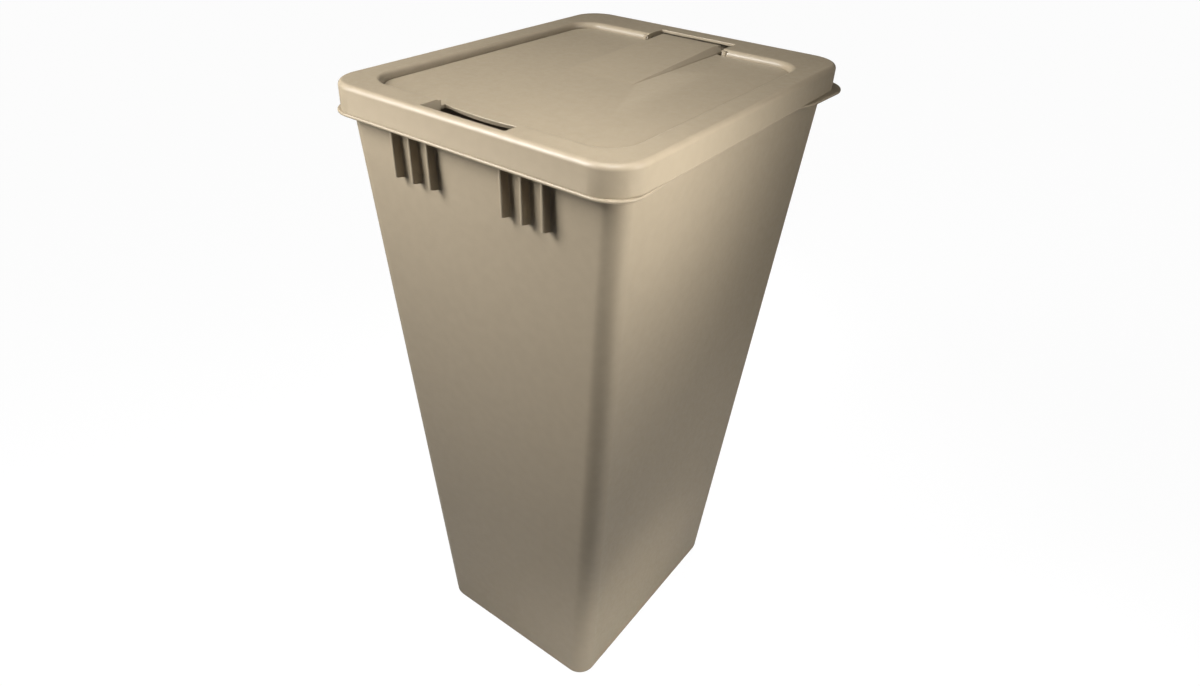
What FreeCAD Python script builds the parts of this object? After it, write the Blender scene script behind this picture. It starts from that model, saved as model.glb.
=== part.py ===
import FreeCAD, Part
import math
import os

# Tall tapered waste bin with a lift-off lid ring and a hinged inset flap.
# Millimetres. Origin: centre of the bin's flat base. +Z up, -Y front, +X right.

# Driving dimensions
BASE_WIDTH = 186.0          # bin walls at the floor, outside
BASE_DEPTH = 238.0
MOUTH_WIDTH = 251.6         # bin walls where they meet the rim flange, outside
MOUTH_DEPTH = 309.4
RIM_HEIGHT = 556.5          # top face of the rim flange
LID_WIDTH = 268.0
LID_DEPTH = 332.0
LID_HEIGHT = 21.0
WALL = 2.4                  # moulded wall thickness of every piece
OVERCUT = 1.0               # how far a cutting shape passes the face that it cuts

# Bin
BASE_CORNER = 17.0
MOUTH_CORNER = 15.0
BASE_EDGE_ROUND = 4.0
FLOOR_THICKNESS = 3.0
FLANGE_THICKNESS = 2.5
FLANGE_FRONT = 166.9        # distance of the flange's front edge from the centre
FLANGE_FRONT_HALF_WIDTH = 134.9
FLANGE_FRONT_CORNER = 24.0
FLANGE_REAR = 174.0
FLANGE_REAR_HALF_WIDTH = 139.4
FLANGE_REAR_CORNER = 28.0
FLANGE_EDGE_ROUND = 1.1
SIDE_FLANGE_HALF_WIDTH = LID_WIDTH / 2 - 1.2
FLANGE_SIDE = ((SIDE_FLANGE_HALF_WIDTH, -111.0), (SIDE_FLANGE_HALF_WIDTH, 86.0), (137.2, 97.0))
LID_CLEARANCE = 0.6         # between the bin's upstand and the lid's skirt
UPSTAND_HEIGHT = 3.5
UPSTAND_THICKNESS = 2.2
UPSTAND_EDGE_ROUND = UPSTAND_THICKNESS / 3
RIB_OFFSETS = (34.1, 51.8, 69.6)
RIB_THICKNESS = 2.6
RIB_EDGE_ROUND = RIB_THICKNESS * 0.45
RIB_FRONT_TOP = 161.6       # distance of the rib's front edge from the centre
RIB_FRONT_FOOT = 160.4
RIB_FOOT = 516.5            # height of the rib's lower front corner
RIB_FOOT_DROP = 1.5         # the lower edge slopes down towards the wall

# Lid ring
LID_CORNER = 27.4
LID_EDGE_ROUND = 4.0
TOP = RIM_HEIGHT + LID_HEIGHT
PLATE = 2.4
OPENING_HALF_WIDTH = 111.0
OPENING_FRONT = -141.0
OPENING_REAR = 122.0
OPENING_CORNER = 22.0
OPENING_EDGE_ROUND = 4.5
RECESS = 5.0                # the flap's panel lies this far below the ring's top
LEDGE_WIDTH = 5.0
LEDGE_THICKNESS = 2.2
SLOT_HALF_WIDTH = 38.0
SLOT_FRONT = -159.3
SLOT_LINER = 2.0
SLOT_LINER_DEPTH = 10.5
SLOT_REAR = -130.0          # the slot also opens the wall and ledge behind it
SLOT_LEDGE_GAP = 44.0       # half the length over which the ledge is left out there
CUTOUT_HALF_WIDTH = 38.5
CUTOUT_REAR = 146.0
CUTOUT_FRONT = 110.0
CHEEK_GAP = 40.0            # half the space between the two cheeks that hold the pin
CHEEK = 3.0
CHEEK_DEPTH = 14.5

# Flap and hinge
FLAP_GAP = 1.0
FLAP_TOP = TOP - RECESS
FLAP_BOTTOM = FLAP_TOP - WALL
FLAP_EDGE_ROUND = 0.8
KNUCKLE_RADIUS = 7.0
KNUCKLE_HALF_WIDTH = 30.0
HINGE_Y = 132.0
HINGE_Z = TOP - KNUCKLE_RADIUS
PIN_RADIUS = 2.5
PIN_CLEARANCE = 0.05
PIN_CHAMFER = 0.4
WEDGE_START = -8.0
WEDGE_FRONT_HALF_WIDTH = 31.5
WEDGE_FOOT_HALF_WIDTH = 34.0
WEDGE_TOP_HALF_WIDTH = 28.5
WEDGE_REAR = 124.0
GRIP_HALF_WIDTH = SLOT_HALF_WIDTH
GRIP_FRONT = -136.5         # the panel's front edge is set back here along the slot
GRIP_BULGE = 3.0            # the finger grip bows this far past that edge
GRIP_DEPTH = 3.6            # lip height at the middle, below the panel's top


def box(low, high):
    size = [b - a for a, b in zip(low, high)]
    return Part.makeBox(*size, FreeCAD.Vector(*low))


def rounded_outline(x_half, y_low, y_high, corner, z):
    """Closed wire of a rectangle with round corners, symmetric about x = 0."""
    turn = corner * math.sqrt(0.5)
    centres = ((x_half - corner, y_low + corner), (x_half - corner, y_high - corner),
               (corner - x_half, y_high - corner), (corner - x_half, y_low + corner))
    signs = ((1, -1), (1, 1), (-1, 1), (-1, -1))
    arcs = []
    for (cx, cy), (sx, sy) in zip(centres, signs):
        along_x = FreeCAD.Vector(cx + sx * corner, cy, z)
        along_y = FreeCAD.Vector(cx, cy + sy * corner, z)
        middle = FreeCAD.Vector(cx + sx * turn, cy + sy * turn, z)
        start, end = (along_y, along_x) if sx * sy < 0 else (along_x, along_y)
        arcs.append((start, middle, end))
    edges = []
    for index, (start, middle, end) in enumerate(arcs):
        edges.append(Part.Arc(start, middle, end).toShape())
        edges.append(Part.makeLine(end, arcs[(index + 1) % 4][0]))
    return Part.Wire(edges)


def rounded_block(x_half, y_low, y_high, corner, z_low, z_high):
    outline = rounded_outline(x_half, y_low, y_high, corner, z_low)
    return Part.Face(outline).extrude(FreeCAD.Vector(0, 0, z_high - z_low))


def horizontal_edges(shape, z, test=lambda centre: True):
    """The edges that lie wholly at one height and pass a test on their centre."""
    found = []
    for edge in shape.Edges:
        bounds = edge.BoundBox
        if abs(bounds.ZMin - z) < 1e-4 and abs(bounds.ZMax - z) < 1e-4 and test(edge.CenterOfMass):
            found.append(edge)
    return found


def wall_size(z):
    """Outside half width, half depth and corner radius of the bin's walls at a height."""
    share = z / RIM_HEIGHT
    half_width = (BASE_WIDTH + (MOUTH_WIDTH - BASE_WIDTH) * share) / 2
    half_depth = (BASE_DEPTH + (MOUTH_DEPTH - BASE_DEPTH) * share) / 2
    corner = BASE_CORNER + (MOUTH_CORNER - BASE_CORNER) * share
    return half_width, half_depth, corner


def tapered_body(inset, z_low, z_high):
    """Loft through the bin's wall sections, moved in by an inset."""
    sections = []
    for z in (z_low, z_high):
        half_width, half_depth, corner = wall_size(z)
        half_depth -= inset
        sections.append(rounded_outline(half_width - inset, -half_depth, half_depth, corner - inset, z))
    return Part.makeLoft(sections, True, True)


def corner_arc(centre, radius, start_degrees, z):
    """Quarter circle, anticlockwise from an angle."""
    points = []
    for degrees in (start_degrees, start_degrees + 45, start_degrees + 90):
        angle = math.radians(degrees)
        points.append(FreeCAD.Vector(centre[0] + radius * math.cos(angle),
                                     centre[1] + radius * math.sin(angle), z))
    return Part.Arc(*points).toShape()


def flange_outline(z):
    """Rim outline: close to the lid in front, under it along the sides, wide at the rear."""
    front = FLANGE_FRONT_CORNER
    rear = FLANGE_REAR_CORNER
    front_x = FLANGE_FRONT_HALF_WIDTH - front
    rear_x = FLANGE_REAR_HALF_WIDTH - rear
    front_y = front - FLANGE_FRONT
    rear_y = FLANGE_REAR - rear
    right = [FreeCAD.Vector(FLANGE_FRONT_HALF_WIDTH, front_y, z)]
    right += [FreeCAD.Vector(x, y, z) for x, y in FLANGE_SIDE]
    right.append(FreeCAD.Vector(FLANGE_REAR_HALF_WIDTH, rear_y, z))
    left = [FreeCAD.Vector(-point.x, point.y, z) for point in reversed(right)]
    edges = [corner_arc((front_x, front_y), front, -90, z)]
    edges += [Part.makeLine(*pair) for pair in zip(right, right[1:])]
    edges.append(corner_arc((rear_x, rear_y), rear, 0, z))
    edges.append(Part.makeLine(FreeCAD.Vector(rear_x, FLANGE_REAR, z),
                               FreeCAD.Vector(-rear_x, FLANGE_REAR, z)))
    edges.append(corner_arc((-rear_x, rear_y), rear, 90, z))
    edges += [Part.makeLine(*pair) for pair in zip(left, left[1:])]
    edges.append(corner_arc((-front_x, front_y), front, 180, z))
    edges.append(Part.makeLine(FreeCAD.Vector(-front_x, -FLANGE_FRONT, z),
                               FreeCAD.Vector(front_x, -FLANGE_FRONT, z)))
    return Part.Wire(edges)


def rim_flange():
    bottom = RIM_HEIGHT - FLANGE_THICKNESS
    flange = Part.Face(flange_outline(bottom)).extrude(FreeCAD.Vector(0, 0, FLANGE_THICKNESS))
    edges = horizontal_edges(flange, bottom) + horizontal_edges(flange, RIM_HEIGHT)
    return flange.makeFillet(FLANGE_EDGE_ROUND, edges)


def upstand():
    """Low wall on the flange that locates the lid's skirt."""
    x_half = LID_WIDTH / 2 - WALL - LID_CLEARANCE
    y_half = LID_DEPTH / 2 - WALL - LID_CLEARANCE
    corner = LID_CORNER - WALL - LID_CLEARANCE
    low = RIM_HEIGHT - FLANGE_THICKNESS
    high = RIM_HEIGHT + UPSTAND_HEIGHT
    outer = rounded_block(x_half, -y_half, y_half, corner, low, high)
    outer = outer.makeFillet(UPSTAND_EDGE_ROUND, horizontal_edges(outer, high))
    t = UPSTAND_THICKNESS
    inner = rounded_block(x_half - t, t - y_half, y_half - t, corner - t, RIM_HEIGHT, high + OVERCUT)
    return outer.cut(inner)


def gusset_rib(x):
    """Upright rib under the front flange, with a rounded front edge."""
    root = -wall_size(RIB_FOOT)[1] + 2 * WALL
    low = RIB_FOOT - RIB_FOOT_DROP
    high = RIM_HEIGHT - FLANGE_THICKNESS / 2
    left = x - RIB_THICKNESS / 2
    profile = [(-RIB_FRONT_TOP, high), (-RIB_FRONT_FOOT, RIB_FOOT), (root, low), (root, high)]
    points = [FreeCAD.Vector(left, y, z) for y, z in profile + profile[:1]]
    rib = Part.Face(Part.makePolygon(points)).extrude(FreeCAD.Vector(RIB_THICKNESS, 0, 0))
    front = [e for e in rib.Edges if e.CenterOfMass.y < -RIB_FRONT_FOOT and e.BoundBox.ZLength > 10]
    return rib.makeFillet(RIB_EDGE_ROUND, front)


def bin_body():
    body = tapered_body(0, 0, RIM_HEIGHT)
    body = body.makeFillet(BASE_EDGE_ROUND, horizontal_edges(body, 0))
    body = body.fuse([rim_flange(), upstand()] + [gusset_rib(s * x) for x in RIB_OFFSETS for s in (-1, 1)])
    body = body.cut(tapered_body(WALL, FLOOR_THICKNESS, RIM_HEIGHT + OVERCUT))
    return body.removeSplitter()


def ring_shell():
    """Skirt, top plate and the wall and ledge around the flap's recess."""
    x_half = LID_WIDTH / 2
    y_half = LID_DEPTH / 2
    shell = rounded_block(x_half, -y_half, y_half, LID_CORNER, RIM_HEIGHT, TOP)
    shell = shell.makeFillet(LID_EDGE_ROUND, horizontal_edges(shell, TOP))
    hollow = rounded_block(x_half - WALL, WALL - y_half, y_half - WALL, LID_CORNER - WALL,
                           RIM_HEIGHT - OVERCUT, TOP - PLATE)
    shell = shell.cut(hollow)
    ledge_bottom = FLAP_BOTTOM - LEDGE_THICKNESS
    collar = rounded_block(OPENING_HALF_WIDTH + WALL, OPENING_FRONT - WALL, OPENING_REAR + WALL,
                           OPENING_CORNER + WALL, ledge_bottom, TOP - PLATE / 2)
    return shell.fuse([collar, slot_liner()] + hinge_cheeks())


def slot_liner():
    """Block that the finger slot is cut from, so that the slot has walls."""
    x_half = SLOT_HALF_WIDTH + SLOT_LINER
    return box((-x_half, SLOT_FRONT - SLOT_LINER, TOP - SLOT_LINER_DEPTH),
               (x_half, OPENING_FRONT, TOP - PLATE / 2))


def hinge_cheeks():
    """Two plates under the ring's top that hold the hinge pin."""
    cheeks = []
    for inner in (-CHEEK_GAP - CHEEK, CHEEK_GAP):
        cheeks.append(box((inner, OPENING_REAR, TOP - CHEEK_DEPTH),
                          (inner + CHEEK, CUTOUT_REAR + CHEEK, TOP - PLATE / 2)))
    return cheeks


def pin_cylinder(radius, half_length):
    return Part.makeCylinder(radius, 2 * half_length, FreeCAD.Vector(-half_length, HINGE_Y, HINGE_Z),
                             FreeCAD.Vector(1, 0, 0))


def lid_ring():
    ring = ring_shell()
    recess = rounded_block(OPENING_HALF_WIDTH, OPENING_FRONT, OPENING_REAR, OPENING_CORNER, FLAP_BOTTOM, TOP)
    inset = LEDGE_WIDTH
    mouth = rounded_block(OPENING_HALF_WIDTH - inset, OPENING_FRONT + inset, OPENING_REAR - inset,
                          OPENING_CORNER - inset, RIM_HEIGHT, TOP)
    ring = ring.cut(recess.fuse(mouth)).removeSplitter()
    ring = ring.makeFillet(OPENING_EDGE_ROUND, horizontal_edges(ring, TOP, inside_opening_edge))
    above = TOP + OVERCUT
    slot = box((-SLOT_HALF_WIDTH, SLOT_FRONT, RIM_HEIGHT), (SLOT_HALF_WIDTH, SLOT_REAR, above))
    cutout = box((-CUTOUT_HALF_WIDTH, CUTOUT_FRONT, RIM_HEIGHT), (CUTOUT_HALF_WIDTH, CUTOUT_REAR, above))
    ledge_gap = box((-SLOT_LEDGE_GAP, OPENING_FRONT, RIM_HEIGHT), (SLOT_LEDGE_GAP, SLOT_REAR, FLAP_BOTTOM))
    under = box((-CHEEK_GAP, OPENING_REAR + WALL, RIM_HEIGHT), (CHEEK_GAP, CUTOUT_REAR, TOP - PLATE))
    pin_hole = pin_cylinder(PIN_RADIUS, CHEEK_GAP + CHEEK + OVERCUT)
    return ring.cut(slot.fuse(cutout)).cut(ledge_gap).cut(under).cut(pin_hole).removeSplitter()


def inside_opening_edge(centre):
    margin = 1.0
    across = abs(centre.x) < OPENING_HALF_WIDTH + margin
    return across and OPENING_FRONT - margin < centre.y < OPENING_REAR + margin


def flap_panel():
    x_half = OPENING_HALF_WIDTH - FLAP_GAP
    panel = rounded_block(x_half, OPENING_FRONT + FLAP_GAP, OPENING_REAR - FLAP_GAP,
                          OPENING_CORNER - FLAP_GAP, FLAP_BOTTOM, FLAP_TOP)
    return panel.makeFillet(FLAP_EDGE_ROUND, horizontal_edges(panel, FLAP_TOP))


def wedge(inset, low):
    """Ramp that rises from the panel to the ring's top at the hinge."""
    front_y = WEDGE_START
    rear_y = WEDGE_REAR - 3 * inset
    rise = RECESS * (rear_y - WEDGE_START) / (WEDGE_REAR - WEDGE_START)
    front_half = WEDGE_FRONT_HALF_WIDTH - inset
    foot_half = WEDGE_FOOT_HALF_WIDTH - inset
    top_half = WEDGE_TOP_HALF_WIDTH - inset
    corners = {
        "front_left": (-front_half, front_y, low),
        "front_right": (front_half, front_y, low),
        "foot_left": (-foot_half, rear_y, low),
        "foot_right": (foot_half, rear_y, low),
        "top_left": (-top_half, rear_y, low + rise),
        "top_right": (top_half, rear_y, low + rise),
    }
    faces = (("front_left", "foot_left", "foot_right", "front_right"),
             ("front_left", "front_right", "top_right", "top_left"),
             ("foot_left", "top_left", "top_right", "foot_right"),
             ("front_left", "top_left", "foot_left"),
             ("front_right", "foot_right", "top_right"))
    shells = []
    for names in faces:
        points = [FreeCAD.Vector(*corners[name]) for name in names + names[:1]]
        shells.append(Part.Face(Part.makePolygon(points)))
    return Part.Solid(Part.Shell(shells))


def tongue():
    """Bridge from the wedge to the knuckle, and the knuckle itself."""
    low = HINGE_Z - PIN_RADIUS - WALL
    profile = [(WEDGE_FOOT_HALF_WIDTH, FLAP_BOTTOM), (WEDGE_FOOT_HALF_WIDTH, FLAP_TOP),
               (WEDGE_TOP_HALF_WIDTH, TOP), (-WEDGE_TOP_HALF_WIDTH, TOP),
               (-WEDGE_FOOT_HALF_WIDTH, FLAP_TOP), (-WEDGE_FOOT_HALF_WIDTH, FLAP_BOTTOM)]
    start = WEDGE_REAR - WALL
    points = [FreeCAD.Vector(x, start, z) for x, z in profile + profile[:1]]
    bridge = Part.Face(Part.makePolygon(points)).extrude(FreeCAD.Vector(0, HINGE_Y - start, 0))
    web = box((-KNUCKLE_HALF_WIDTH, start, low), (KNUCKLE_HALF_WIDTH, HINGE_Y, FLAP_TOP))
    return bridge.fuse([web, pin_cylinder(KNUCKLE_RADIUS, KNUCKLE_HALF_WIDTH)])


def finger_grip():
    """Bowed lip on the panel's front edge, deepest in the middle."""
    front = GRIP_FRONT
    ends = [FreeCAD.Vector(s * GRIP_HALF_WIDTH, front, FLAP_TOP) for s in (-1, 1)]
    middle = FreeCAD.Vector(0, front - GRIP_BULGE, FLAP_TOP)
    bow = Part.Arc(ends[0], middle, ends[1]).toShape()
    back = [FreeCAD.Vector(s * GRIP_HALF_WIDTH, front + WALL, FLAP_TOP) for s in (1, -1)]
    outline = Part.Wire([bow, Part.makeLine(ends[1], back[0]), Part.makeLine(*back),
                         Part.makeLine(back[1], ends[0])])
    block = Part.Face(outline).extrude(FreeCAD.Vector(0, 0, -GRIP_DEPTH))
    y = front - 2 * GRIP_BULGE
    sides = [FreeCAD.Vector(s * GRIP_HALF_WIDTH, y, FLAP_BOTTOM) for s in (-1, 1)]
    lowest = FreeCAD.Vector(0, y, FLAP_TOP - GRIP_DEPTH)
    tops = [FreeCAD.Vector(s * GRIP_HALF_WIDTH, y, FLAP_TOP + OVERCUT) for s in (1, -1)]
    smile = Part.Wire([Part.Arc(sides[0], lowest, sides[1]).toShape(), Part.makeLine(sides[1], tops[0]),
                       Part.makeLine(*tops), Part.makeLine(tops[1], sides[0])])
    return block.common(Part.Face(smile).extrude(FreeCAD.Vector(0, 4 * GRIP_BULGE, 0)))


def flap():
    notch = box((-GRIP_HALF_WIDTH, OPENING_FRONT, FLAP_BOTTOM - OVERCUT), (GRIP_HALF_WIDTH, GRIP_FRONT, TOP))
    body = flap_panel().cut(notch).fuse([wedge(0, FLAP_TOP), tongue(), finger_grip()])
    body = body.cut(wedge(WALL, FLAP_BOTTOM))
    body = body.cut(pin_cylinder(PIN_RADIUS + PIN_CLEARANCE, WEDGE_FOOT_HALF_WIDTH + OVERCUT))
    return body.removeSplitter()


def hinge_pin():
    pin = pin_cylinder(PIN_RADIUS, CHEEK_GAP + CHEEK)
    ends = [e for e in pin.Edges if e.Closed]
    return pin.makeChamfer(PIN_CHAMFER, ends)


def main():
    os.makedirs("parts", exist_ok=True)
    nodes = {"bin": bin_body, "lid_ring": lid_ring, "flap": flap, "hinge_pin": hinge_pin}
    for name, build in nodes.items():
        shape = build()
        print(name, "valid", shape.isValid(), "solids", len(shape.Solids), "volume", round(shape.Volume))
        shape.exportStep("parts/" + name + ".step")


main()
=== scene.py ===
import math

import bmesh
import bpy
from mathutils import Matrix, Vector


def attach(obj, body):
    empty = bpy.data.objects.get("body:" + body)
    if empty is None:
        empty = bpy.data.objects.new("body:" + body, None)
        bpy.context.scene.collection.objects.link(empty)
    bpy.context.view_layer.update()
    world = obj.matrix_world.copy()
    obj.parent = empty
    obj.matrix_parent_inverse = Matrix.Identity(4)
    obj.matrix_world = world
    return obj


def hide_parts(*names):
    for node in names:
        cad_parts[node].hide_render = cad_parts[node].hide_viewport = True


# Looks of a tall tapered waste bin with a lift-off lid ring and a hinged inset flap.
# Shapes are worked out in millimetres, in the frame of the CAD model, and scaled to metres.
# Origin: centre of the bin's flat base. +Z up, -Y front, +X right.

MM = 0.001
SMALLEST_CORNER = 1.0
ROD_SIDES = 48
OVERCUT = 1.0               # how far a cutting or joining shape passes the face that it meets
HAIR = 0.02                 # keeps faces of two joined shapes from falling in one plane
WELD = 0.002                # points closer than this become one
SHARP_DEGREES = 35.0        # edges that turn by more stay sharp

# Segments in a quarter turn
ARC_STEPS = 16              # an outline's corners
EDGE_STEPS = 6              # most rounded edges
FINE_STEPS = 3              # the smallest rounds
RIB_STEPS = 4
MOUTH_STEPS = 5             # the edges of the lid's mouths, the flap and the ribs' fronts
BROAD_STEPS = 9             # the broad rounds on the lid's top
SWEEP_STEPS = 12            # the backdrop

# Driving dimensions
BASE_WIDTH = 186.0
BASE_DEPTH = 238.0
MOUTH_WIDTH = 251.6
MOUTH_DEPTH = 309.4
RIM = 556.5                 # top face of the rim flange
LID_WIDTH = 268.0
LID_DEPTH = 332.0
TOP = RIM + 21.0            # top face of the lid ring
WALL = 2.4

# Bin
OUTER_LEVELS = (0.1, 0.25, 0.4, 0.55, 0.7, 0.85)    # extra loops up the outer wall, as shares
INNER_LEVELS = (0.8, 0.6, 0.4, 0.2)                 # and down the inner wall
CAP_INSETS = (60.0, 20.0)                           # loops between a cap's middle and its edge
BASE_CORNER = 17.0
MOUTH_CORNER = 15.0
BASE_EDGE_ROUND = 4.0
FLOOR = 3.0
FLOOR_ROUND = 5.0
FLANGE_THICKNESS = 2.5
FLANGE_FRONT = 166.9
FLANGE_FRONT_HALF_WIDTH = 134.9
FLANGE_FRONT_CORNER = 24.0
FLANGE_REAR = 174.0
FLANGE_REAR_HALF_WIDTH = 139.4
FLANGE_REAR_CORNER = 28.0
FLANGE_EDGE_ROUND = 1.1
FLANGE_ROOT_ROUND = 1.6
SIDE_FLANGE_HALF_WIDTH = LID_WIDTH / 2 - 1.2
FLANGE_SIDE = ((SIDE_FLANGE_HALF_WIDTH, -111.0), (SIDE_FLANGE_HALF_WIDTH, 86.0), (137.2, 97.0))
UPSTAND_HEIGHT = 3.5
UPSTAND_THICKNESS = 2.2
UPSTAND_ROOT_ROUND = 0.4
LID_CLEARANCE = 0.6
RIB_OFFSETS = (34.1, 51.8, 69.6)
RIB_THICKNESS = 2.6
RIB_FRONT_TOP = 161.6
RIB_FRONT_FOOT = 160.4
RIB_FOOT = 516.5
RIB_FOOT_DROP = 1.5
RIB_FOOT_ROUND = 1.2
RIB_ROOT_ROUND = 1.0
RIB_SUNK = 1.2              # depth of a rib's back inside the wall
RIB_TOP_SUNK = 0.8          # and of its top inside the flange
RIB_END = 12.0              # distance from each end to the nearest loop

# Lid ring
LID_CORNER = 27.4
LID_EDGE_ROUND = 4.0
RIM_EDGE_ROUND = 0.5
SKIRT_INNER_ROUND = 2.0
COLLAR_CHAMFER = 1.0        # where the recess wall meets the top plate from below
PLATE = 2.4
OPENING_HALF_WIDTH = 111.0
OPENING_FRONT = -141.0
OPENING_REAR = 122.0
OPENING_CORNER = 22.0
OPENING_EDGE_ROUND = 4.5
RECESS = 5.0
LEDGE_WIDTH = 5.0
LEDGE_THICKNESS = 2.2
SLOT_HALF_WIDTH = 38.0
SLOT_FRONT = -159.3
SLOT_REAR = -130.0
SLOT_LEDGE_GAP = 44.0
SLOT_LINER = 2.0
SLOT_LINER_DEPTH = 10.5
SLOT_CORNER = 1.0
CUTOUT_HALF_WIDTH = 38.5
CUTOUT_FRONT = 110.0
CUTOUT_REAR = 146.0
CHEEK_GAP = 40.0
CHEEK = 3.0
CHEEK_DEPTH = 14.5
CHEEK_CORNER = 1.5
CUTOUT_CORNER = 1.0
MOUTH_FLARE = 0.7           # round on the top edges of the slot and the hinge cut-out

# Flap and hinge
FLAP_GAP = 1.0
FLAP_TOP = TOP - RECESS
FLAP_BOTTOM = FLAP_TOP - WALL
FLAP_EDGE_ROUND = 0.8
FLAP_UNDER_ROUND = 0.3
FLAP_CAP_INSET = 40.0
KNUCKLE_RADIUS = 7.0
KNUCKLE_HALF_WIDTH = 30.0
KNUCKLE_CHAMFER = 0.5
WEB_DROP = 0.2              # the web under the tongue stays this far below the panel's top
HINGE_Y = 132.0
HINGE_Z = TOP - KNUCKLE_RADIUS
PIN_RADIUS = 2.5
PIN_CLEARANCE = 0.05
PIN_CHAMFER = 0.4
WEDGE_START = -8.0
WEDGE_FRONT_HALF_WIDTH = 31.5
WEDGE_FOOT_HALF_WIDTH = 34.0
WEDGE_TOP_HALF_WIDTH = 28.5
WEDGE_REAR = 124.0
WEDGE_STATIONS = (0.0, 0.02, 0.05, 0.1, 0.2, 0.35, 0.5, 0.65, 0.8, 0.9, 0.97, 1.0)
WEDGE_LOWEST = 0.05         # least rise that the ramp's rounds are worked out from
WEDGE_EDGE_ROUND = 1.4
WEDGE_EDGE_SHARE = 0.6      # where the ramp is low, its edge round is this share of its rise
WEDGE_EDGE_STEPS = 5
WEDGE_ROOT_ROUND = 0.8
WEDGE_ROOT_SHARE = 0.3
GRIP_HALF_WIDTH = SLOT_HALF_WIDTH
GRIP_FRONT = -136.5
GRIP_BULGE = 3.0
GRIP_DEPTH = 3.6
GRIP_STEPS = 32
GRIP_EDGE_ROUND = 0.4
GRIP_LEAN = 1.2             # the lip's lower edge is set back by this much
GRIP_SUNK = 0.6             # depth of the lip's back inside the panel
GRIP_BACK_DROP = 0.3        # that back stays this far below the panel's top

# Camera, in metres
CAMERA_PLACE = Vector((0.36821, -0.52368, 0.75063))
CAMERA_YAW = math.radians(35.529)
CAMERA_ELEVATION = math.radians(33.522)
CAMERA_ROLL = math.radians(2.475)
CAMERA_LENS = 23.993        # millimetres, as is the sensor
CAMERA_SENSOR = 36.0
CAMERA_SHIFT = (0.0112, -0.00758)

# What the camera alone sees of the floor and the world: it doesn't light the object
FLOOR_GLOW = 1.1            # strength of the floor's white
FLOOR_GLOW_SHARE = 0.88     # share of that white in the floor's look
WORLD_SEEN = 0.97           # strength of the white behind the floor

PAPER_SCALE = 40.0          # fibres of the floor, per metre
PAPER_TONES = (0.58, 0.62)
PAPER_ROUGHNESS = 0.9
PAPER_SHINE = 0.2

WORLD_LIGHT = 0.06          # even light that reaches the object from all round

# Square lights, in metres: name, place, aim, side length, power in watts, spread in degrees, and
# whether reflections show it
LIGHTS = (
    ("key_left", (-0.30, -0.52, 0.95), (0.0, 0.0, 0.58), 0.32, 2.0, 80.0, True),
    ("fill_left", (-0.52, -0.74, 0.76), (0.0, 0.0, 0.45), 0.45, 5.3, 180.0, True),
    ("front_high", (0.06, -0.17, 0.83), (0.05, -0.16, 0.577), 0.10, 0.05, 90.0, True),
    ("corner_high", (0.18, -0.22, 0.78), (0.13, -0.15, 0.577), 0.10, 0.15, 90.0, True),
    ("rear_high", (-0.05, 0.02, 1.00), (-0.02, 0.06, 0.577), 0.20, 0.13, 80.0, True),
    ("key_right", (0.60, 0.02, 0.85), (0.12, -0.05, 0.50), 0.14, 1.4, 180.0, True),
    ("side_right", (0.41, -0.075, 0.575), (0.13, -0.13, 0.575), 0.07, 0.45, 96.0, False),
    ("fill_right", (1.00, 0.15, 0.30), (0.09, 0.00, 0.12), 0.30, 0.75, 80.0, False),
    ("base_right", (0.70, -0.50, 0.16), (0.06, -0.04, 0.02), 0.10, 0.08, 25.0, False),
    ("back_low", (-0.50, 0.90, 0.30), (0.0, 0.0, 0.30), 0.50, 3.4, 90.0, False),
    ("inside", (0.02, -0.05, 0.30), (-0.08, 0.10, 0.50), 0.06, 0.05, 180.0, True),
)

# Plastic: colours are linear red, green and blue; scales are per metre, and depths in metres
TAN = (0.264, 0.217, 0.152)
# Near-black brown of the hinge pin: painted shade, so that the notches beside the tongue look shaded
PAINTED_SHADE_BROWN = (0.022, 0.014, 0.007)
BIN_ROUGHNESS = 0.42
LID_ROUGHNESS = 0.38
FLAP_ROUGHNESS = 0.40
PIN_ROUGHNESS = 0.50
PLASTIC_SHINE = 0.38
NOISE_BAND = (0.3, 0.7)     # noise values that are spread over a whole change
MOTTLE_BAND = (0.35, 0.65)
SHARP_BAND = (0.52, 0.60)   # how sharp an edge is where its paler colour, rubbed wear and painted highlight, starts and where it is full
MOTTLE_SCALE = 120.0
MOTTLE = 0.03               # how far the mottling goes either way from the plain colour
SPECK_SCALE = 700.0
SPECK_STRENGTH = 0.35
WEAR_AND_SHEEN_STRENGTH = 0.35         # how far sharp edges go towards a paler colour: rubbed wear and painted highlight
WEAR_AND_SHEEN_RATIO = 1.22
WEAR_AND_SHEEN_LIFT = 0.02
ROUGHNESS_SCALE = 240.0
ROUGHNESS_CHANGES = (-0.04, 0.05)   # least and most, added to a piece's own roughness
GRAIN_SCALE = 1100.0
GRAIN_STRENGTH = 0.20
GRAIN_DEPTH = 0.0002
RIPPLE_SCALE = 26.0
RIPPLE_STRENGTH = 0.02
RIPPLE_DEPTH = 0.002


# Mesh helpers

def quarter(steps):
    """(cosine, sine) pairs from 0 to 90 degrees."""
    angles = [math.pi / 2 * step / steps for step in range(steps + 1)]
    return [(math.cos(a), math.sin(a)) for a in angles]


def corner_points(centre_x, centre_y, radius, start_degrees, z):
    """Quarter circle, anticlockwise from an angle."""
    angles = [math.radians(start_degrees + 90 * step / ARC_STEPS) for step in range(ARC_STEPS + 1)]
    return [(centre_x + radius * math.cos(a), centre_y + radius * math.sin(a), z) for a in angles]


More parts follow.
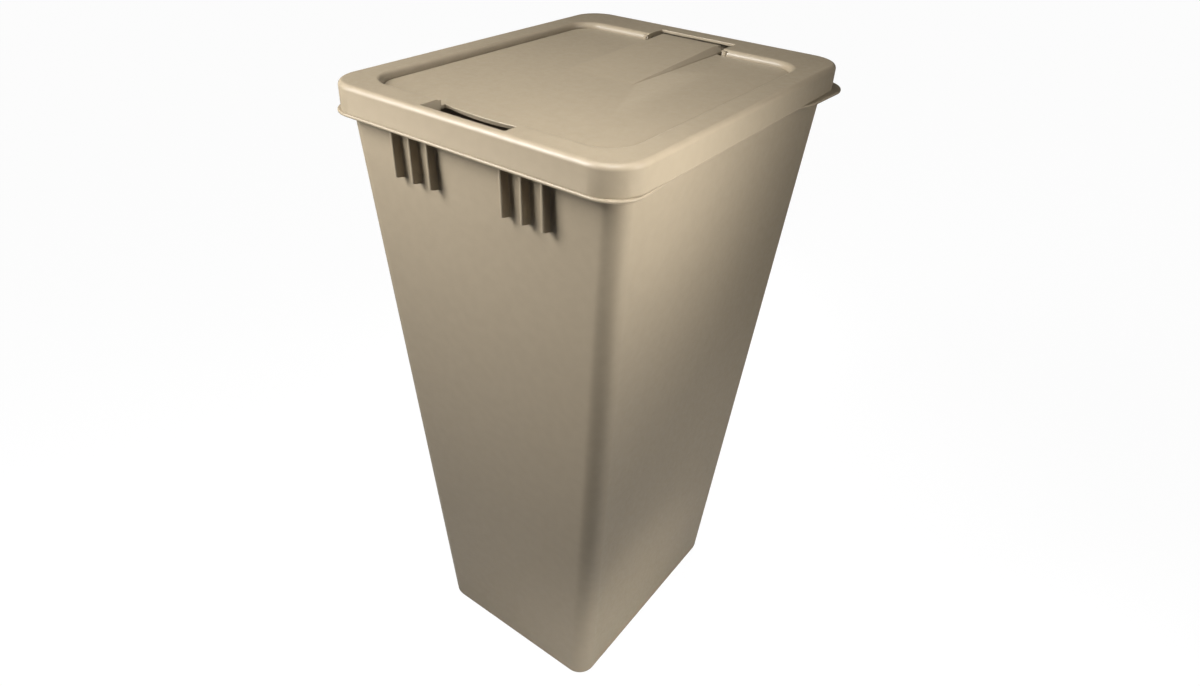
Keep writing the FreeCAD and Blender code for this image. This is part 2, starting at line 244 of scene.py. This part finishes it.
def outline(x_half, y_low, y_high, corner, z, shares=()):
    """Rounded rectangle as (x, y, z) points, anticlockwise from the front right corner.

    Each side gets further points at shares of its straight length.
    """
    corner = max(corner, SMALLEST_CORNER)
    x = x_half - corner
    front = y_low + corner
    rear = y_high - corner
    side = [front + (rear - front) * share for share in shares]
    points = corner_points(x, front, corner, -90, z)
    points += [(x_half, y, z) for y in side]
    points += corner_points(x, rear, corner, 0, z)
    points += corner_points(-x, rear, corner, 90, z)
    points += [(-x_half, y, z) for y in reversed(side)]
    return points + corner_points(-x, front, corner, 180, z)


def skin(name, loops, closed=False):
    """Mesh object skinned over loops of equal length, in millimetres.

    The ends are capped unless the last loop joins the first.
    """
    mesh = bmesh.new()
    rows = [[mesh.verts.new(Vector(point) * MM) for point in loop] for loop in loops]
    count = len(rows[0])
    pairs = list(zip(rows, rows[1:]))
    if closed:
        pairs.append((rows[-1], rows[0]))
    for low, high in pairs:
        for i in range(count):
            j = (i + 1) % count
            mesh.faces.new((low[i], low[j], high[j], high[i]))
    if not closed:
        mesh.faces.new(list(reversed(rows[0])))
        mesh.faces.new(rows[-1])
    bmesh.ops.recalc_face_normals(mesh, faces=mesh.faces)
    data = bpy.data.meshes.new(name)
    mesh.to_mesh(data)
    mesh.free()
    piece = bpy.data.objects.new(name, data)
    bpy.context.scene.collection.objects.link(piece)
    return piece


def apply_modifiers(piece):
    bpy.context.view_layer.update()
    evaluated = piece.evaluated_get(bpy.context.evaluated_depsgraph_get())
    data = bpy.data.meshes.new_from_object(evaluated)
    piece.modifiers.clear()
    piece.data = data


def combine(piece, others, operation):
    """Adds or removes closed helper shapes, which are then deleted."""
    for other in others:
        modifier = piece.modifiers.new(operation.lower(), "BOOLEAN")
        modifier.operation = operation
        modifier.solver = "EXACT"
        modifier.object = other
    apply_modifiers(piece)
    for other in others:
        bpy.data.objects.remove(other)


def finish_surface(piece):
    """Smooth shading that keeps flat faces flat and leaves sharp edges sharp."""
    mesh = bmesh.new()
    mesh.from_mesh(piece.data)
    bmesh.ops.remove_doubles(mesh, verts=mesh.verts, dist=WELD * MM)
    bmesh.ops.dissolve_degenerate(mesh, edges=mesh.edges, dist=WELD * MM)
    mesh.to_mesh(piece.data)
    mesh.free()
    for polygon in piece.data.polygons:
        polygon.use_smooth = True
    piece.data.set_sharp_from_angle(angle=math.radians(SHARP_DEGREES))
    weighted = piece.modifiers.new("flat_faces_stay_flat", "WEIGHTED_NORMAL")
    weighted.keep_sharp = True
    weighted.weight = 90
    apply_modifiers(piece)


# Bin

def wall_size(z):
    """Outside half width, half depth and corner radius of the bin's walls at a height."""
    share = z / RIM
    half_width = (BASE_WIDTH + (MOUTH_WIDTH - BASE_WIDTH) * share) / 2
    half_depth = (BASE_DEPTH + (MOUTH_DEPTH - BASE_DEPTH) * share) / 2
    corner = BASE_CORNER + (MOUTH_CORNER - BASE_CORNER) * share
    return half_width, half_depth, corner


def side_shares():
    """Where the points along the flange's side fall, as shares of a straight side."""
    low = FLANGE_FRONT_CORNER - FLANGE_FRONT
    high = FLANGE_REAR - FLANGE_REAR_CORNER
    return [(y - low) / (high - low) for _, y in FLANGE_SIDE]


def wall_loop(z, inset=0.0):
    half_width, half_depth, corner = wall_size(z)
    y = half_depth - inset
    return outline(half_width - inset, -y, y, corner - inset, z, side_shares())


def flange_loop(z, inset):
    """Rim outline: close to the lid in front, under it along the sides, wide at the rear."""
    front = FLANGE_FRONT_CORNER - inset
    rear = FLANGE_REAR_CORNER - inset
    front_x = FLANGE_FRONT_HALF_WIDTH - FLANGE_FRONT_CORNER
    rear_x = FLANGE_REAR_HALF_WIDTH - FLANGE_REAR_CORNER
    front_y = FLANGE_FRONT_CORNER - FLANGE_FRONT
    rear_y = FLANGE_REAR - FLANGE_REAR_CORNER
    side = [(x - inset, y) for x, y in FLANGE_SIDE]
    points = corner_points(front_x, front_y, front, -90, z)
    points += [(x, y, z) for x, y in side]
    points += corner_points(rear_x, rear_y, rear, 0, z)
    points += corner_points(-rear_x, rear_y, rear, 90, z)
    points += [(-x, y, z) for x, y in reversed(side)]
    return points + corner_points(-front_x, front_y, front, 180, z)


def upstand_loop(z, inset):
    x = LID_WIDTH / 2 - WALL - LID_CLEARANCE - inset
    y = LID_DEPTH / 2 - WALL - LID_CLEARANCE - inset
    corner = LID_CORNER - WALL - LID_CLEARANCE - inset
    return outline(x, -y, y, corner, z, side_shares())


def bin_shell():
    """Outer wall, rim flange, upstand, inner wall and floor in one skin."""
    edge = quarter(EDGE_STEPS)
    r = BASE_EDGE_ROUND
    loops = [wall_loop(0.0, inset) for inset in CAP_INSETS]
    loops += [wall_loop(r - r * c, r - r * s) for c, s in edge]
    under = RIM - FLANGE_THICKNESS
    loops += [wall_loop(under * share) for share in OUTER_LEVELS]
    r = FLANGE_ROOT_ROUND
    loops += [wall_loop(under - r + r * s, r * c - r) for c, s in edge]
    r = FLANGE_EDGE_ROUND
    loops += [flange_loop(under + r - r * c, r - r * s) for c, s in edge]
    loops += [flange_loop(RIM - r + r * s, r - r * c) for c, s in edge]
    root = UPSTAND_ROOT_ROUND
    loops.append(upstand_loop(RIM, -root))
    loops.append(upstand_loop(RIM + root, 0.0))
    high = RIM + UPSTAND_HEIGHT
    r = UPSTAND_THICKNESS / 2
    loops += [upstand_loop(high - r + r * s, r - r * c) for c, s in edge]
    loops += [upstand_loop(high - r + r * c, r + r * s) for c, s in edge[1:]]
    loops.append(upstand_loop(RIM + root, UPSTAND_THICKNESS))
    loops.append(upstand_loop(RIM, UPSTAND_THICKNESS + root))
    r = RIM_EDGE_ROUND
    loops += [wall_loop(RIM - r + r * c, WALL - r * s + r) for c, s in edge]
    loops += [wall_loop(RIM * share, WALL) for share in INNER_LEVELS]
    r = FLOOR_ROUND
    loops += [wall_loop(FLOOR + r - r * s, WALL + r - r * c) for c, s in edge]
    loops += [wall_loop(FLOOR, inset) for inset in reversed(CAP_INSETS)]
    return skin("bin_shell", loops)


def rib_section(x, z, front, root):
    """Outline of a rib at one height: flared at the wall, round at the front."""
    half = RIB_THICKNESS / 2
    flare = RIB_ROOT_ROUND
    inside = root + RIB_SUNK
    side = [(half + flare, inside), (half + flare, root)]
    side += [(half + flare - flare * s, root - flare + flare * c) for c, s in quarter(RIB_STEPS)[1:]]
    side += [(half * c, front + half - half * s) for c, s in quarter(MOUTH_STEPS)]
    points = [(x + dx, y, z) for dx, y in side]
    return points + [(x - dx, y, z) for dx, y in side[-2::-1]]


def sloped_foot(section, root):
    """A rib's foot section, lowered towards the wall."""
    front = min(y for _, y, _ in section)
    sloped = []
    for x, y, z in section:
        share = min((y - front) / (root - front), 1)
        sloped.append((x, y, z - RIB_FOOT_DROP * share))
    return sloped


def gusset_rib(x):
    """Upright rib under the front flange, with a rounded front edge and foot."""
    under = RIM - FLANGE_THICKNESS
    r = RIB_FOOT_ROUND
    levels = [(under + RIB_TOP_SUNK, 0.0), (under - RIB_END, 0.0), (RIB_FOOT + RIB_END, 0.0)]
    levels += [(RIB_FOOT + r - r * s, r - r * c) for c, s in quarter(RIB_STEPS)]
    sections = []
    for z, pulled in levels:
        share = (z - RIB_FOOT) / (under - RIB_FOOT)
        front = pulled - (RIB_FRONT_FOOT + (RIB_FRONT_TOP - RIB_FRONT_FOOT) * share)
        root = -wall_size(z)[1]
        section = rib_section(x, z, front, root)
        if z <= RIB_FOOT + r:
            section = sloped_foot(section, root)
        sections.append(section)
    return skin("rib", sections)


def make_bin():
    shell = bin_shell()
    ribs = [gusset_rib(side * x) for x in RIB_OFFSETS for side in (-1, 1)]
    combine(shell, ribs, "UNION")
    finish_surface(shell)
    return shell


# Lid ring

def lid_loop(z, inset):
    y = LID_DEPTH / 2 - inset
    return outline(LID_WIDTH / 2 - inset, -y, y, LID_CORNER - inset, z)


def opening_loop(z, inset):
    """Outline of the flap's opening, smaller by an inset."""
    return outline(OPENING_HALF_WIDTH - inset, OPENING_FRONT + inset, OPENING_REAR - inset,
                   OPENING_CORNER - inset, z)


def ring_shell():
    """Skirt, top plate, recess wall and ledge as one closed profile swept round."""
    fine = quarter(FINE_STEPS)
    broad = quarter(BROAD_STEPS)
    r = RIM_EDGE_ROUND
    loops = [lid_loop(RIM + r - r * c, r - r * s) for c, s in fine]
    r = LID_EDGE_ROUND
    loops += [lid_loop(TOP - r + r * s, r - r * c) for c, s in broad]
    r = OPENING_EDGE_ROUND
    loops += [opening_loop(TOP - r + r * c, r * s - r) for c, s in broad]
    r = RIM_EDGE_ROUND
    loops.append(opening_loop(FLAP_BOTTOM, 0.0))
    loops += [opening_loop(FLAP_BOTTOM - r + r * c, LEDGE_WIDTH - r + r * s) for c, s in fine]
    low = FLAP_BOTTOM - LEDGE_THICKNESS
    loops += [opening_loop(low + r - r * s, LEDGE_WIDTH - r + r * c) for c, s in fine]
    loops += [opening_loop(low + r - r * c, r - r * s - WALL) for c, s in fine]
    loops.append(opening_loop(TOP - PLATE - COLLAR_CHAMFER, -WALL))
    loops.append(opening_loop(TOP - PLATE, -WALL - COLLAR_CHAMFER))
    r = SKIRT_INNER_ROUND
    loops += [lid_loop(TOP - PLATE - r + r * c, WALL + r - r * s) for c, s in quarter(EDGE_STEPS)]
    r = RIM_EDGE_ROUND
    loops += [lid_loop(RIM + r - r * s, WALL + r - r * c) for c, s in fine]
    return skin("lid_frame", loops, closed=True)


def block(x_half, y_low, y_high, z_low, z_high, corner=SMALLEST_CORNER):
    return skin("block", [outline(x_half, y_low, y_high, corner, z) for z in (z_low, z_high)])


def flared_cutter(x_half, y_low, y_high, corner, z_low):
    """Upright cutter whose mouth leaves a round edge in the lid's top face."""
    r = MOUTH_FLARE
    levels = [(z_low, 0.0), (TOP - r, 0.0)]
    levels += [(TOP - r + r * s, r - r * c) for c, s in quarter(MOUTH_STEPS)[1:]]
    levels.append((TOP + OVERCUT, r))
    loops = []
    for z, out in levels:
        loops.append(outline(x_half + out, y_low - out, y_high + out, corner + out, z))
    return skin("cutter", loops)


def rod(name, radius, half_length, chamfer=0.0):
    """Round bar along X on the hinge line."""
    ends = [(half_length - chamfer, 0.0), (half_length, chamfer)] if chamfer else [(half_length, 0.0)]
    levels = [(-x, inset) for x, inset in reversed(ends)] + ends
    angles = [2 * math.pi * step / ROD_SIDES for step in range(ROD_SIDES)]
    loops = []
    for x, inset in levels:
        r = radius - inset
        loops.append([(x, HINGE_Y + r * math.cos(a), HINGE_Z + r * math.sin(a)) for a in angles])
    return skin(name, loops)


def slot_liner():
    """Block that the finger slot is cut from, so that the slot has walls."""
    return block(SLOT_HALF_WIDTH + SLOT_LINER, SLOT_FRONT - SLOT_LINER, OPENING_FRONT + OVERCUT,
                 TOP - SLOT_LINER_DEPTH, TOP - PLATE / 2, SLOT_CORNER + SLOT_LINER)


def hinge_cheeks():
    """Two plates under the ring's top that hold the hinge pin."""
    cheeks = block(CHEEK_GAP + CHEEK, OPENING_REAR - OVERCUT, CUTOUT_REAR + CHEEK,
                   TOP - CHEEK_DEPTH, TOP - PLATE / 2, CHEEK_CORNER)
    between = block(CHEEK_GAP, CUTOUT_FRONT, CUTOUT_REAR + CHEEK + OVERCUT, RIM - OVERCUT, TOP - PLATE)
    combine(cheeks, [between], "DIFFERENCE")
    return cheeks


def make_lid():
    ring = ring_shell()
    combine(ring, [slot_liner(), hinge_cheeks()], "UNION")
    slot = flared_cutter(SLOT_HALF_WIDTH, SLOT_FRONT, SLOT_REAR, SLOT_CORNER, RIM)
    ledge_gap = block(SLOT_LEDGE_GAP, OPENING_FRONT, SLOT_REAR, RIM - OVERCUT, FLAP_BOTTOM)
    cutout = flared_cutter(CUTOUT_HALF_WIDTH, CUTOUT_FRONT, CUTOUT_REAR, CUTOUT_CORNER, RIM)
    under = block(CHEEK_GAP, OPENING_REAR + WALL, CUTOUT_REAR, RIM - OVERCUT, TOP - PLATE)
    pin_hole = rod("pin_hole", PIN_RADIUS, CHEEK_GAP + CHEEK + OVERCUT)
    combine(ring, [slot, ledge_gap, cutout, under, pin_hole], "DIFFERENCE")
    finish_surface(ring)
    return ring


# Flap

def flap_loop(z, inset):
    return opening_loop(z, FLAP_GAP + inset)


def flap_panel():
    loops = [flap_loop(FLAP_BOTTOM, FLAP_CAP_INSET)]
    r = FLAP_UNDER_ROUND
    loops += [flap_loop(FLAP_BOTTOM + r - r * c, r - r * s) for c, s in quarter(FINE_STEPS)]
    r = FLAP_EDGE_ROUND
    loops += [flap_loop(FLAP_TOP - r + r * s, r - r * c) for c, s in quarter(MOUTH_STEPS)]
    loops.append(flap_loop(FLAP_TOP, FLAP_CAP_INSET))
    return skin("flap_panel", loops)


def wedge_section(y, top_z, foot_half, top_half):
    """Cross-section of the raised tongue at one distance along it."""
    rise = max(top_z - FLAP_TOP, WEDGE_LOWEST)
    r = min(WEDGE_EDGE_ROUND, rise * WEDGE_EDGE_SHARE)
    root = min(WEDGE_ROOT_ROUND, rise * WEDGE_ROOT_SHARE)
    lean = math.atan2(foot_half - top_half, rise)
    foot = foot_half + root
    low = FLAP_TOP - HAIR
    side = [(foot, FLAP_TOP - OVERCUT), (foot, low)]
    side += [(foot - root * s, low + root - root * c) for c, s in quarter(FINE_STEPS)[1:]]
    turn = math.pi / 2 - lean
    centre_x = top_half - r * math.tan(turn / 2)
    for step in range(WEDGE_EDGE_STEPS):
        angle = lean + turn * step / WEDGE_EDGE_STEPS
        side.append((centre_x + r * math.cos(angle), top_z - r + r * math.sin(angle)))
    side.append((centre_x, top_z))
    points = [(x, y, z) for x, z in side]
    return points + [(-x, y, z) for x, _, z in reversed(points)]


def tongue():
    """Ramp that rises to the ring's top, then a level bridge to the hinge line."""
    sections = []
    for share in WEDGE_STATIONS:
        y = WEDGE_START + (WEDGE_REAR - WEDGE_START) * share
        foot = WEDGE_FRONT_HALF_WIDTH + (WEDGE_FOOT_HALF_WIDTH - WEDGE_FRONT_HALF_WIDTH) * share
        top = WEDGE_FRONT_HALF_WIDTH + (WEDGE_TOP_HALF_WIDTH - WEDGE_FRONT_HALF_WIDTH) * share
        sections.append(wedge_section(y, FLAP_TOP + RECESS * share, foot, top))
    sections.append(wedge_section(HINGE_Y, TOP, WEDGE_FOOT_HALF_WIDTH, WEDGE_TOP_HALF_WIDTH))
    return skin("tongue", sections)


def grip_lip():
    """Bowed lip on the panel's front edge, deepest in the middle."""
    r = GRIP_EDGE_ROUND
    fine = quarter(FINE_STEPS)
    back = GRIP_FRONT + WALL + GRIP_SUNK
    sections = []
    for step in range(GRIP_STEPS + 1):
        x = GRIP_HALF_WIDTH * (2 * step / GRIP_STEPS - 1)
        bow = 1 - (x / GRIP_HALF_WIDTH) ** 2
        edge = GRIP_FRONT - GRIP_BULGE * bow - HAIR
        low = FLAP_BOTTOM - (GRIP_DEPTH - WALL) * bow - HAIR
        profile = [(back, FLAP_TOP - GRIP_BACK_DROP), (back, low)]
        profile += [(edge + GRIP_LEAN + r - r * s, low + r - r * c) for c, s in fine]
        profile += [(edge + r - r * c, FLAP_TOP - r + r * s) for c, s in fine]
        profile.append((GRIP_FRONT + OVERCUT, FLAP_TOP))
        sections.append([(x, y, z) for y, z in profile])
    return skin("grip_lip", sections)


def wedge_pocket():
    """Hollow under the raised wedge, open below."""
    rear = WEDGE_REAR - 3 * WALL
    stations = ((WEDGE_START, WEDGE_FRONT_HALF_WIDTH, WEDGE_FRONT_HALF_WIDTH),
                (rear, WEDGE_FOOT_HALF_WIDTH, WEDGE_TOP_HALF_WIDTH))
    low = FLAP_BOTTOM - OVERCUT
    loops = []
    for y, foot, top in stations:
        high = FLAP_BOTTOM + RECESS * (y - WEDGE_START) / (WEDGE_REAR - WEDGE_START)
        foot -= WALL
        top -= WALL
        loops.append([(foot, y, low), (top, y, high), (-top, y, high), (-foot, y, low)])
    return skin("wedge_pocket", loops)


def make_flap():
    panel = flap_panel()
    notch = block(GRIP_HALF_WIDTH, OPENING_FRONT, GRIP_FRONT, FLAP_BOTTOM - OVERCUT, FLAP_TOP + OVERCUT)
    combine(panel, [notch], "DIFFERENCE")
    web = block(KNUCKLE_HALF_WIDTH, WEDGE_REAR - WALL - OVERCUT, HINGE_Y,
                HINGE_Z - PIN_RADIUS - WALL, FLAP_TOP - WEB_DROP)
    knuckle = rod("knuckle", KNUCKLE_RADIUS, KNUCKLE_HALF_WIDTH, KNUCKLE_CHAMFER)
    combine(panel, [tongue(), grip_lip(), web, knuckle], "UNION")
    bore = rod("bore", PIN_RADIUS + PIN_CLEARANCE, WEDGE_FOOT_HALF_WIDTH + OVERCUT)
    combine(panel, [bore, wedge_pocket()], "DIFFERENCE")
    finish_surface(panel)
    return panel


def make_pin():
    pin = rod("hinge_rod", PIN_RADIUS, CHEEK_GAP + CHEEK, PIN_CHAMFER)
    finish_surface(pin)
    return pin


# Materials

def node(tree, kind, **inputs):
    """New shader node with its named inputs set."""
    made = tree.nodes.new(kind)
    for name, value in inputs.items():
        made.inputs[name.replace("_", " ")].default_value = value
    return made


def moulded_plastic(name, colour, roughness):
    """Satin injection-moulded plastic: fine grain, faint mottling, and sharp edges paled as rubbed wear and
    painted highlight.
    """
    material = bpy.data.materials.new(name)
    material.use_nodes = True
    tree = material.node_tree
    link = tree.links.new
    shader = tree.nodes["Principled BSDF"]
    shader.inputs["Specular IOR Level"].default_value = PLASTIC_SHINE
    place = tree.nodes.new("ShaderNodeTexCoord").outputs["Object"]

    def noise(scale, detail=3.0, rough=0.5):
        made = node(tree, "ShaderNodeTexNoise", Scale=scale, Detail=detail, Roughness=rough)
        link(place, made.inputs["Vector"])
        return made.outputs["Fac"]

    def ramp(source, band, first, last):
        made = node(tree, "ShaderNodeMapRange", From_Min=band[0], From_Max=band[1], To_Min=first, To_Max=last)
        link(source, made.inputs["Value"])
        return made.outputs["Result"]

    def mix(share, first, last, blend="MIX"):
        made = tree.nodes.new("ShaderNodeMix")
        made.data_type = "RGBA"
        made.blend_type = blend
        link(share, made.inputs["Factor"])
        for socket, value in ((made.inputs[6], first), (made.inputs[7], last)):
            if isinstance(value, bpy.types.NodeSocket):
                link(value, socket)
            else:
                socket.default_value = (*value, 1.0)
        return made.outputs[2]

    darker = tuple(c * (1 - MOTTLE) for c in colour)
    lighter = tuple(c * (1 + MOTTLE) for c in colour)
    wear_and_sheen_colour = tuple(c * WEAR_AND_SHEEN_RATIO + WEAR_AND_SHEEN_LIFT for c in colour)
    mottled = mix(ramp(noise(MOTTLE_SCALE), MOTTLE_BAND, 0.0, 1.0), darker, lighter)
    speck = mix(ramp(noise(SPECK_SCALE, 2.0), NOISE_BAND, 0.0, SPECK_STRENGTH), mottled, darker)
    # Sharp edges go paler: partly rubbed wear, partly painted highlight
    pointiness = tree.nodes.new("ShaderNodeNewGeometry").outputs["Pointiness"]
    wear_and_sheen = mix(ramp(pointiness, SHARP_BAND, 0.0, WEAR_AND_SHEEN_STRENGTH), speck, wear_and_sheen_colour)
    link(wear_and_sheen, shader.inputs["Base Color"])
    smoother, rougher = (roughness + change for change in ROUGHNESS_CHANGES)
    uneven = ramp(noise(ROUGHNESS_SCALE, 4.0), NOISE_BAND, smoother, rougher)
    link(uneven, shader.inputs["Roughness"])
    grain = node(tree, "ShaderNodeBump", Strength=GRAIN_STRENGTH, Distance=GRAIN_DEPTH)
    link(noise(GRAIN_SCALE, 2.0, 0.6), grain.inputs["Height"])
    ripple = node(tree, "ShaderNodeBump", Strength=RIPPLE_STRENGTH, Distance=RIPPLE_DEPTH)
    link(noise(RIPPLE_SCALE, 2.0), ripple.inputs["Height"])
    link(grain.outputs["Normal"], ripple.inputs["Normal"])
    link(ripple.outputs["Normal"], shader.inputs["Normal"])
    return material


def studio_paper():
    """Pale paper, lifted towards white where the camera sees it, as if lit from below."""
    material = bpy.data.materials.new("studio_paper")
    material.use_nodes = True
    tree = material.node_tree
    shader = tree.nodes["Principled BSDF"]
    place = tree.nodes.new("ShaderNodeTexCoord").outputs["Object"]
    fibres = node(tree, "ShaderNodeTexNoise", Scale=PAPER_SCALE, Detail=4.0)
    tree.links.new(place, fibres.inputs["Vector"])
    tone = node(tree, "ShaderNodeMapRange", To_Min=PAPER_TONES[0], To_Max=PAPER_TONES[1])
    tree.links.new(fibres.outputs["Fac"], tone.inputs["Value"])
    tree.links.new(tone.outputs["Result"], shader.inputs["Base Color"])
    shader.inputs["Roughness"].default_value = PAPER_ROUGHNESS
    shader.inputs["Specular IOR Level"].default_value = PAPER_SHINE
    glow = node(tree, "ShaderNodeEmission", Strength=FLOOR_GLOW)
    seen = tree.nodes.new("ShaderNodeLightPath").outputs["Is Camera Ray"]
    share = node(tree, "ShaderNodeMapRange", To_Min=0.0, To_Max=FLOOR_GLOW_SHARE)
    tree.links.new(seen, share.inputs["Value"])
    blend = tree.nodes.new("ShaderNodeMixShader")
    tree.links.new(share.outputs["Result"], blend.inputs["Fac"])
    tree.links.new(shader.outputs["BSDF"], blend.inputs[1])
    tree.links.new(glow.outputs["Emission"], blend.inputs[2])
    tree.links.new(blend.outputs["Shader"], tree.nodes["Material Output"].inputs["Surface"])
    return material


# Studio

def make_floor():
    """Pale paper sweep: a floor that turns up behind the object."""
    reach = 6000.0
    depth = 5000.0
    height = 6000.0
    bend = 1500.0
    profile = [(-depth, 0.0), (depth - bend, 0.0)]
    profile += [(depth - bend + bend * s, bend - bend * c) for c, s in quarter(SWEEP_STEPS)[1:]]
    profile.append((depth, height))
    mesh = bmesh.new()
    rows = []
    for x in (-reach, reach):
        rows.append([mesh.verts.new(Vector((x, y, z)) * MM) for y, z in profile])
    for i in range(len(profile) - 1):
        face = mesh.faces.new((rows[0][i], rows[1][i], rows[1][i + 1], rows[0][i + 1]))
        face.smooth = True
    data = bpy.data.meshes.new("floor")
    mesh.to_mesh(data)
    mesh.free()
    floor = bpy.data.objects.new("floor", data)
    bpy.context.scene.collection.objects.link(floor)
    floor.data.materials.append(studio_paper())


def softbox(name, place, aim, size, power, spread, shine):
    """Square area light that the camera doesn't see; reflections show it only if it may shine."""
    data = bpy.data.lights.new(name, "AREA")
    data.size = size
    data.energy = power
    data.spread = math.radians(spread)
    light = bpy.data.objects.new(name, data)
    light.location = place
    light.rotation_euler = (Vector(aim) - Vector(place)).to_track_quat("-Z", "Y").to_euler()
    light.visible_camera = False
    light.visible_glossy = shine
    bpy.context.scene.collection.objects.link(light)


def make_world():
    """Dim, even light all round; the camera itself sees plain white behind the floor."""
    world = bpy.data.worlds.new("studio")
    world.use_nodes = True
    tree = world.node_tree
    seen = tree.nodes.new("ShaderNodeLightPath").outputs["Is Camera Ray"]
    level = node(tree, "ShaderNodeMapRange", To_Min=WORLD_LIGHT, To_Max=WORLD_SEEN)
    tree.links.new(seen, level.inputs["Value"])
    tree.links.new(level.outputs["Result"], tree.nodes["Background"].inputs["Strength"])
    tree.nodes["Background"].inputs["Color"].default_value = (1.0, 1.0, 1.0, 1.0)
    bpy.context.scene.world = world


def make_camera():
    back = Vector((math.sin(CAMERA_YAW) * math.cos(CAMERA_ELEVATION),
                   -math.cos(CAMERA_YAW) * math.cos(CAMERA_ELEVATION), math.sin(CAMERA_ELEVATION)))
    right = (-back).cross(Vector((0, 0, 1))).normalized()
    up = right.cross(-back)
    across = math.cos(CAMERA_ROLL) * right + math.sin(CAMERA_ROLL) * up
    upward = math.cos(CAMERA_ROLL) * up - math.sin(CAMERA_ROLL) * right
    data = bpy.data.cameras.new("camera")
    data.sensor_width = CAMERA_SENSOR
    data.lens = CAMERA_LENS
    data.shift_x, data.shift_y = CAMERA_SHIFT
    camera = bpy.data.objects.new("camera", data)
    turned = Matrix((across, upward, back)).transposed().to_4x4()
    camera.matrix_world = Matrix.Translation(CAMERA_PLACE) @ turned
    bpy.context.scene.collection.objects.link(camera)
    bpy.context.scene.camera = camera


def place_piece(piece, body, cad_node, material):
    piece.data.materials.clear()
    piece.data.materials.append(material)
    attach(piece, body)
    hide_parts(cad_node)


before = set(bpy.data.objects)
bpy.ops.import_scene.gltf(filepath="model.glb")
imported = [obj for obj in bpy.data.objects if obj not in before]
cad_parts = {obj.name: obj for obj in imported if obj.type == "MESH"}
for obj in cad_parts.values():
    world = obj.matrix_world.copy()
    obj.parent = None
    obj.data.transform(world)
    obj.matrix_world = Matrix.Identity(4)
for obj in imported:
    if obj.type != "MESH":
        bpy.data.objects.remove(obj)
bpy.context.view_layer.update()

make_camera()
make_floor()
make_world()
for light_values in LIGHTS:
    softbox(*light_values)

place_piece(make_bin(), "bin", "bin", moulded_plastic("bin_plastic", TAN, BIN_ROUGHNESS))
place_piece(make_lid(), "lid", "lid_ring", moulded_plastic("lid_plastic", TAN, LID_ROUGHNESS))
place_piece(make_flap(), "flap", "flap", moulded_plastic("flap_plastic", TAN, FLAP_ROUGHNESS))
# The hinge pin gets the near-black brown: painted shade in the notches beside the tongue
place_piece(make_pin(), "lid", "hinge_pin",
            moulded_plastic("pin_plastic", PAINTED_SHADE_BROWN, PIN_ROUGHNESS))

bpy.context.scene.view_settings.view_transform = "Standard"
